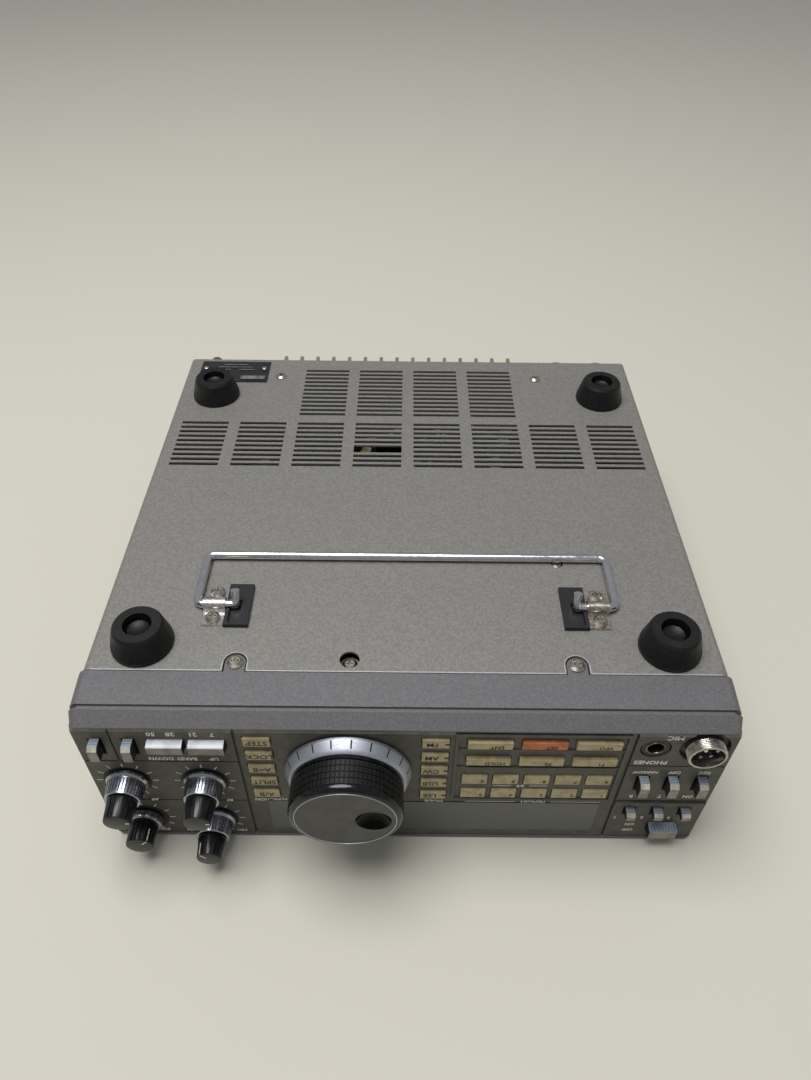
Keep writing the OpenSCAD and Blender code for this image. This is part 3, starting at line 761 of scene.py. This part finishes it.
class TRX_OT_knobs(bpy.types.Operator):
    """Models the small knobs: fluted chrome outer knobs and black inner knobs with a pointer line"""

    bl_idname = "trx.knobs"
    bl_label = "Small knobs"

    def execute(self, context):
        plate = chrome("polished_knob_chrome", "#a6a9b1", 0.18, "#989ba3")
        black = grip_plastic("fluted_knob_moulding", 0.3, "#101012")
        line = printing("white_pointer_ink", "#e2e0d6")
        for name in ("squelch_knob", "sub_squelch_knob", "shuttle_ring"):
            x, z = middle(name)
            knob = turned(
                x,
                z,
                [(6.2, 9.8), (6.9, 9.8), (7.2, 9.6), (7.35, 9.2), (7.9, 3.2),
                 (8.0, 2.7), (8.6, 2.1), (8.8, 1.8), (8.8, 0.8), (8.6, 0.6)],
                144,
            )
            flute(knob, x, z, 144, 4, 2, FACE - 9.3, FACE - 3.1, 0.45)
            close(knob, name + "_fluted", name, plate, node=name)
        # name: (tip, radius at the tip, radius at the root, where the root is, turn of the pointer or None)
        knobs = {
            "volume_knob": (19.4, 5.5, 6.3, 10.1, None),
            "sub_volume_knob": (19.4, 5.5, 6.3, 10.1, None),
            "channel_knob": (19.2, 5.2, 6.1, 10.1, 130),
            "shift_knob": (13.8, 5.9, 6.1, 4.1, 45),
        }
        for name, (tip, small, large, root, turn) in knobs.items():
            x, z = middle(name)
            half = root + 0.4 * (tip - root)
            knob = turned(
                x,
                z,
                [(small - 0.6, tip), (small - 0.25, tip - 0.1), (small, tip - 0.5),
                 (large - 0.6 * (large - small), half), (large, root + 0.6), (large - 0.1, root)],
                72,
            )
            flute(knob, x, z, 72, 4, 1, FACE - tip + 0.5, FACE - root - 0.6, 0.5, shift=1)
            close(knob, name + "_grip", name, black, node=name)
            if turn is not None:
                strip = math.floor(turn / 5)
                face_finish(
                    knob,
                    line,
                    lambda c, n: c.y < FACE - half
                    and n.y > -0.5
                    and math.floor(math.degrees(math.atan2(c.z - z, c.x - x)) / 5) == strip,
                )
            a, reach = (turn or 0) + (2.5 if turn else 0), 3.4 if turn else 1.6
            r = small - 0.35 - reach / 2
            ca, sa = math.cos(math.radians(a)), math.sin(math.radians(a))
            pointer = blocks([((x + r * ca, FACE - tip - 0.01, z + r * sa), (reach, 0.1, 0.5), a)])
            close(pointer, name + "_pointer", name, line)
        x, z = middle("shift_knob")
        skirt = turned(
            x,
            z,
            [(6.2, 4.2), (6.9, 4.2), (7.3, 4.0), (7.6, 3.5), (7.7, 2.8), (7.7, 0.8), (7.5, 0.6)],
            96,
        )
        close(skirt, "shift_knob_skirt", "shift_knob", plate, node="shift_knob")
        return {"FINISHED"}


UPPER = ["lever_upper_1", "lever_upper_2", "lever_upper_3"]
LOWER = ["lever_lower_1", "lever_lower_2", "lever_lower_3"]
MEMORY_AT = (0.5, -7.8)  # the words set out from the middle digit key, in mm across and up
DIGITS_AT = (-6.2, 5.6)
# plain words on the panel, one at each place named: (words, places, mm across, mm up, capital height in mm)
WORDS = [
    (["7", "28"], ["band_key_2", "band_key_1"], 2.8, 6.8, 2.5),
    (["21", "50"], ["band_key_2", "band_key_1"], -4.8, 6.8, 2.5),
    (["UP"], ["band_key_2"], 1.0, -11.0, 2.1),
    (["BAND"], ["band_key_1"], 6.5, -11.0, 2.1),
    (["DOWN"], ["band_key_1"], -4.0, -11.0, 2.1),
    (["FUNCTION"], ["mode_key_5"], 1.0, -6.5, 1.9),
    (["MODE"], ["func_key_5"], 0.5, -6.5, 2.0),
    (["MIC"], ["microphone_ring"], -13.0, 7.0, 2.7),
    (["PHONES"], ["phones_jack"], 0.0, -10.0, 2.5),
    (["NARROW"], UPPER[:1], 0.0, 7.6, 1.6),
    (["OFF", "REC"], UPPER[1:], 0.0, 7.6, 2.0),
    (["R", "T", "ON"], UPPER, -2.0, -12.0, 2.0),
    (["1", "2", "3"], LOWER, -5.0, -7.0, 1.9),
    (["ON"], ["power_button"], -14.0, 1.5, 1.9),
    (["OFF"], ["power_button"], -14.0, -3.5, 1.9),
    (["MEMORY"], ["digit_key_3"], *MEMORY_AT, 1.9),
    (["0-9"], ["digit_key_3"], *DIGITS_AT, 1.7),
    (["AF", "RF"], ["squelch_knob", "sub_squelch_knob"], 8.0, -16.0, 1.9),
    (["SQL"], ["shift_knob"], 6.0, -11.5, 1.9),
    (["CH"], ["shuttle_ring"], -13.0, -11.5, 1.9),
    (["MIC"], ["shuttle_ring"], 10.0, -11.5, 1.9),
]
LEGENDS = {
    "mode_key": ["STEP", "LOCK", "A=B", "SPLIT", "A/B"],
    "func_key": ["FM", "AM", "CW", "USB", "LSB"],
    "big_key": ["ENT", "SET", "VFO", "HOLD", "F2", "F1"],
    "digit_key": ["1", "2", "3", "4", "5", "6", "7", "8", "9"],
}


class TRX_OT_printing(bpy.types.Operator):
    """Prints the panel's plain legends, the scales round the knobs and the legends on the keys"""

    bl_idname = "trx.printing"
    bl_label = "Printing"

    def execute(self, context):
        panel = settings("panel")
        white = printing("white_panel_ink", panel.print_colour)
        dark = printing("dark_key_ink", "#211d18")
        inks = []
        for words, places, dx, dz, height in WORDS:
            for text, name in zip(words, places, strict=True):
                x, z = spot(name)
                inks.append(lettering(text, x + dx, z + dz, height * panel.legend_height / LEGEND))
        close(join(inks), "panel_legends", "set", white)
        marks, discs = [], []
        for name in ("squelch_knob", "sub_squelch_knob", "shift_knob", "shuttle_ring"):
            x, z = middle(name)
            disc = turned(x, z, [(10.0, 0.05), (10.0, -0.2)], 64)
            bpy.ops.object.mode_set(mode="OBJECT")
            discs.append(disc)
            for i in range(11):
                turn = -60 + 30 * i
                across, up = 11.6 * math.cos(math.radians(turn)), 11.6 * math.sin(math.radians(turn))
                marks.append(((x + across, FACE - 0.02, z + up), (2.4, 0.06, 0.36), turn))
        x, z = middle("digit_key_3")
        # a line on each side of a word: (the word's place, gap from its middle to the line, line's length)
        for (dx, dz), gap, length in ((MEMORY_AT, 7.7, 21.4), (DIGITS_AT, 3.8, 7.5)):
            for side in (-1, 1):
                across = x + dx + side * (gap + length / 2)
                marks.append(((across, FACE - 0.02, z + dz), (length, 0.06, 0.36), 0))
        close(blocks(marks), "panel_scales", "set", white)
        close(join(discs), "knob_wells", "set", printing("black_panel_ink", "#131211"))
        for group, texts in LEGENDS.items():
            for i, text in enumerate(texts, 1):
                self.key_legend(f"{group}_{i}", text, group, dark)
        self.key_legend("digit_key_0", "0", "digit_key", dark)
        return {"FINISHED"}

    def key_legend(self, name, text, group, ink):
        """Prints a key's legend: centred on the mode keys, beside the mark or off centre on the rest."""
        x, z = middle(name)
        height, dx, dz = {
            "mode_key": (2.9, 0, -0.3),
            "func_key": (2.7, -1.3, -0.3),
            "big_key": (2.1, 2.6, -0.7),
            "digit_key": (2.0, 3.3, -1.1),
        }[group]
        words = lettering(text, x + dx, z + dz, height, y=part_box(name)[0].y / MM)
        close(words, name + "_legend", name, ink)
        if group == "func_key":
            mark = blocks([((x + 4.6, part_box(name)[0].y / MM - 0.02, z), (1.8, 0.06, 1.1), 0)])
            close(mark, name + "_mark", name, ink)


class TRX_OT_plate(bpy.types.Operator):
    """Models the type plate's bars, serial strip and rivets, with no words on it"""

    bl_idname = "trx.plate"
    bl_label = "Type plate"

    def execute(self, context):
        low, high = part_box("type_plate")
        wear_node("type_plate", printing("black_plate_enamel", "#131314"))
        silver = plated_steel("bare_plate_aluminium", "#c9c9c6", "#9c9b97", 0.3)
        x0, x1, y0, y1 = low.x / MM, high.x / MM, low.y / MM, high.y / MM
        z = high.z / MM + 0.02
        middle_x = (x0 + x1) / 2
        bars = [((x1 - 8.6, y0 + 3.4, z), (14.0, 3.6, 0.08), 0)]
        for i, (wide, at) in enumerate(((14, 0), (20, 0), (9, -7), (9, 7))):
            row = (0, 1, 2, 2)[i]
            bars.append(((middle_x + at, y1 - 4.4 - 2.6 * row, z), (wide, 0.7, 0.08), 0))
        plate = blocks(bars)
        close(plate, "type_plate_bars", "set", silver)
        for i, x in enumerate((x0 + 3.1, x1 - 3.1)):
            rivet = start(
                bpy.ops.mesh.primitive_uv_sphere_add,
                segments=32,
                ring_count=16,
                radius=1.5 * MM,
                location=(x * MM, (y0 + 13.3) * MM, z * MM),
            )
            edit(rivet)
            bpy.ops.transform.resize(value=(1, 1, 0.3), center_override=(x * MM, (y0 + 13.3) * MM, z * MM))
            close(rivet, f"type_plate_rivet_{i + 1}", "set", silver, angle=60)
        return {"FINISHED"}


class TRX_OT_fittings(bpy.types.Operator):
    """Models the phones ferrule, the microphone socket's thread and the feet's bosses"""

    bl_idname = "trx.fittings"
    bl_label = "Socket fittings"

    def execute(self, context):
        ring = hoop(*PHONES, 3.7, 0.32, FACE + 0.4)
        close(ring, "phones_ferrule", "set", plated_steel("dull_brass_ferrule", "#8f8068", "#5d5242", 0.3))
        low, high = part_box("feet")
        rubber = black_rubber()
        for i, x in enumerate((low.x / MM + 12.8, high.x / MM - 12.8)):
            for j, y in enumerate((low.y / MM + 12.8, high.y / MM - 12.8)):
                top = high.z / MM - 2.6
                boss = start(
                    bpy.ops.mesh.primitive_cylinder_add,
                    vertices=48,
                    radius=4.7 * MM,
                    depth=4 * MM,
                    location=(x * MM, y * MM, (top - 2) * MM),
                )
                edit(boss)
                pick(boss, lambda c, n: n.z > 0.9)
                bpy.ops.mesh.bevel(offset=0.5 * MM, segments=2)
                pick(boss, lambda c, n: n.z > 0.99)
                bpy.ops.mesh.inset(thickness=1.3 * MM)
                bpy.ops.transform.translate(value=(0, 0, -0.8 * MM))
                close(boss, f"foot_boss_{2 * i + j + 1}", "set", rubber, angle=40)
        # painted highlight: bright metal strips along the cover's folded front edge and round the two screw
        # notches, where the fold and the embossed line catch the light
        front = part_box("bottom_cover")[0].y / MM + 0.35
        z = COVER + 0.01
        spans = ((-127.0, -NOTCH[0] - 4.9), (-NOTCH[0] + 4.9, NOTCH[0] - 4.9), (NOTCH[0] + 4.9, 127.0))
        shine = [(((a + b) / 2, front, z), (b - a, 0.45, 0.05)) for a, b in spans]
        for side in (-1, 1):
            for leg in (-5.1, 5.1):
                at = (side * NOTCH[0] + leg, (front + NOTCH[1]) / 2, z)
                shine.append((at, (0.4, NOTCH[1] - front, 0.05)))
        strip = blocks([(c, size, 0) for c, size in shine])
        bpy.ops.object.mode_set(mode="OBJECT")
        arcs = [strip]
        for side in (-1, 1):
            arc = start(
                bpy.ops.mesh.primitive_torus_add,
                major_segments=48,
                minor_segments=6,
                major_radius=5.1 * MM,
                minor_radius=0.2 * MM,
                location=(side * NOTCH[0] * MM, NOTCH[1] * MM, (z - 0.15) * MM),
            )
            edit(arc)
            bpy.ops.mesh.bisect(
                plane_co=(0, NOTCH[1] * MM, 0), plane_no=(0, 1, 0), clear_inner=True, use_fill=True
            )
            bpy.ops.object.mode_set(mode="OBJECT")
            arcs.append(arc)
        cover_highlight, tree, shader = finish("cover_edge_painted_highlight", "#cfd0d2", 0.6, 0.3)
        roughen(tree, shader, 0.8, 0.01, lift=(0.25, 0.4))
        edge = close(join(arcs), "cover_edge", "set", cover_highlight)
        turns = [hoop(*MICROPHONE, 7.4, 0.26, FACE - 0.5 - 0.72 * i) for i in range(6)]
        thread = join(turns)
        nickel = plated_steel("cut_nickel_thread", "#d2cdc6", "#9a938a", 0.22)
        close(thread, "microphone_thread", "set", nickel)
        return {"FINISHED"}


CAMERA_AT = (-0.00154, -0.3010, 0.3591)  # metres
CAMERA_AIM = (44.25, -0.18, 0.71)  # degrees down from level, to the side, and about the line of sight


class TRX_OT_stage(bpy.types.Operator):
    """Adds the floor, the lights and the camera"""

    bl_idname = "trx.stage"
    bl_label = "Stage"

    def execute(self, context):
        stage = settings("stage")
        floor = start(bpy.ops.mesh.primitive_plane_add, size=14, location=(0, 0, 0))
        floor.name = "floor"
        mat, tree, shader = finish("plain_floor", stage.floor, 0.0, 0.85)
        floor.data.materials.append(mat)

        def softbox(name, at, size, power):
            lamp = bpy.data.lights.new(name, "AREA")
            lamp.shape, lamp.size, lamp.energy = "DISK", size, power
            obj = bpy.data.objects.new(name, lamp)
            obj.location = at
            obj.rotation_mode = "QUATERNION"
            obj.rotation_quaternion = (Vector((0, 0, 0.04)) - Vector(at)).to_track_quat("-Z", "Y")
            context.collection.objects.link(obj)

        softbox("overhead_softbox", (-0.25, -0.1, 1.6), 1.1, stage.key_power)
        world = context.scene.world or bpy.data.worlds.new("world")
        context.scene.world = world
        world.use_nodes = True
        sky = world.node_tree.nodes.get("Background")
        sky.inputs[0].default_value = (0.92, 0.94, 1.0, 1)
        sky.inputs[1].default_value = stage.fill
        lens = bpy.data.cameras.new("camera")
        lens.lens, lens.sensor_width = stage.lens, 36
        lens.clip_start, lens.clip_end = 0.01, 50
        camera = bpy.data.objects.new("camera", lens)
        context.collection.objects.link(camera)
        pitch, yaw, roll = (math.radians(a) for a in CAMERA_AIM)
        right = Vector((1, 0, 0))
        up = Vector((0, math.sin(pitch), math.cos(pitch)))
        ahead = Vector((0, math.cos(pitch), -math.sin(pitch)))
        right, up = math.cos(roll) * right + math.sin(roll) * up, math.cos(roll) * up - math.sin(roll) * right
        turn = Matrix.Rotation(yaw, 3, "Z")
        axes = Matrix((turn @ right, turn @ up, -(turn @ ahead))).transposed()
        camera.matrix_world = Matrix.Translation(CAMERA_AT) @ axes.to_4x4()
        context.scene.camera = camera
        context.scene.view_settings.view_transform = "Standard"
        return {"FINISHED"}


class TRX_PT_tools(bpy.types.Panel):
    """Lists the transceiver's operators"""

    bl_label = "Transceiver"
    bl_idname = "TRX_PT_tools"
    bl_space_type = "VIEW_3D"
    bl_region_type = "UI"
    bl_category = "Transceiver"

    def draw(self, context):
        for operator in OPERATORS:
            self.layout.operator(operator.bl_idname)
        for name in GROUPS:
            group = settings(name)
            for key in group.__annotations__:
                self.layout.prop(group, key)


GROUPS = {"case": CaseSettings, "panel": PanelSettings, "dial": DialSettings, "stage": StageSettings}
OPERATORS = [
    TRX_OT_case,
    TRX_OT_panel,
    TRX_OT_dial,
    TRX_OT_knobs,
    TRX_OT_printing,
    TRX_OT_plate,
    TRX_OT_fittings,
    TRX_OT_stage,
]


def register():
    for cls in [*GROUPS.values(), *OPERATORS, TRX_PT_tools]:
        bpy.utils.register_class(cls)
    for name, cls in GROUPS.items():
        setattr(bpy.types.Scene, "transceiver_" + name, bpy.props.PointerProperty(type=cls))


def unregister():
    for name in GROUPS:
        delattr(bpy.types.Scene, "transceiver_" + name)
    for cls in reversed([*GROUPS.values(), *OPERATORS, TRX_PT_tools]):
        bpy.utils.unregister_class(cls)


def main():
    register()
    for operator in OPERATORS:
        group, name = operator.bl_idname.split(".")
        getattr(getattr(bpy.ops, group), name)()


if __name__ == "__main__":
    main()
